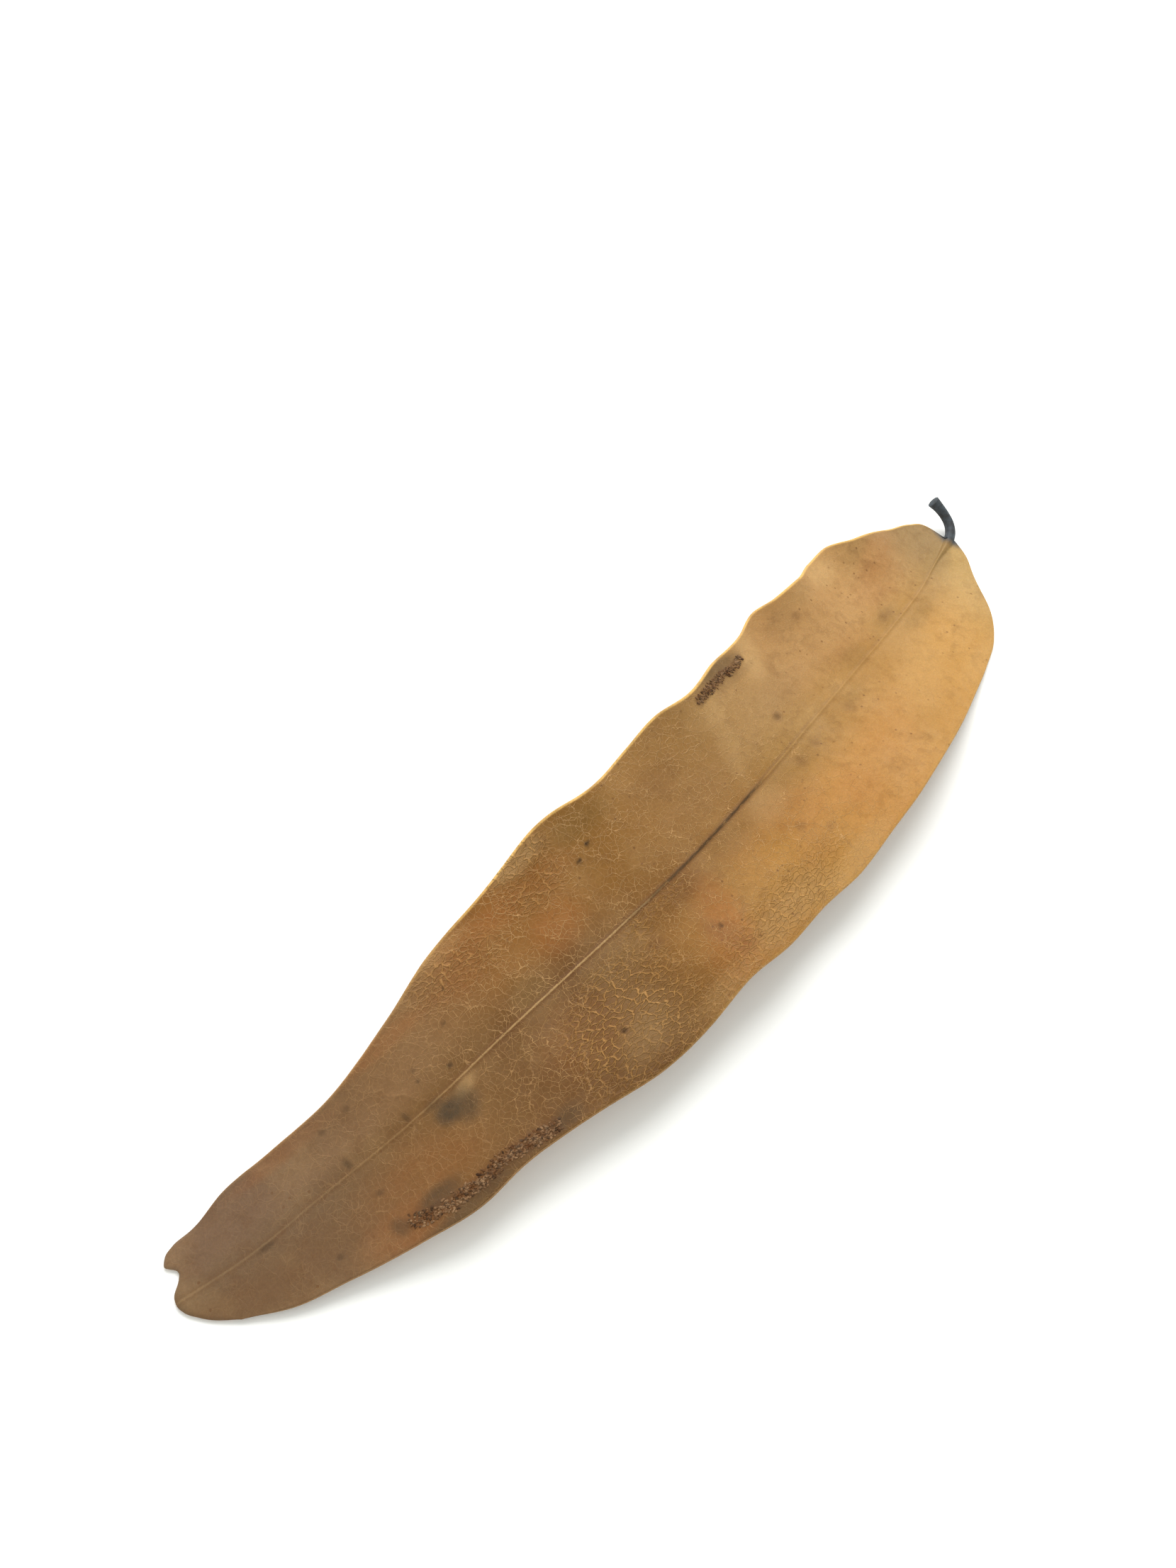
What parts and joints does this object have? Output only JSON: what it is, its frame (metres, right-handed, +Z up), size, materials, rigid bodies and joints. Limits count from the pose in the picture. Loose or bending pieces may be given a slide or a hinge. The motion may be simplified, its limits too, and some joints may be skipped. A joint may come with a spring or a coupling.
{
  "type": "dried leaf",
  "caption": "Narrow dried brown leaf of the beech family, arched and wavy, with a nibbled blunt tip and a short hooked stalk.",
  "frame": {"origin": "on the surface that the leaf lies on, under the centre of its bounding box", "axes": "+X from the stalk to the tip, +Y towards the fuller margin, +Z up from the surface to the leaf's upper face"},
  "size_m": [0.1142, 0.0264, 0.0094],
  "materials": {
    "leaf": "satin"
  },
  "bodies": {
    "root": {"leaf": "leaf"}
  },
  "joints": []
}
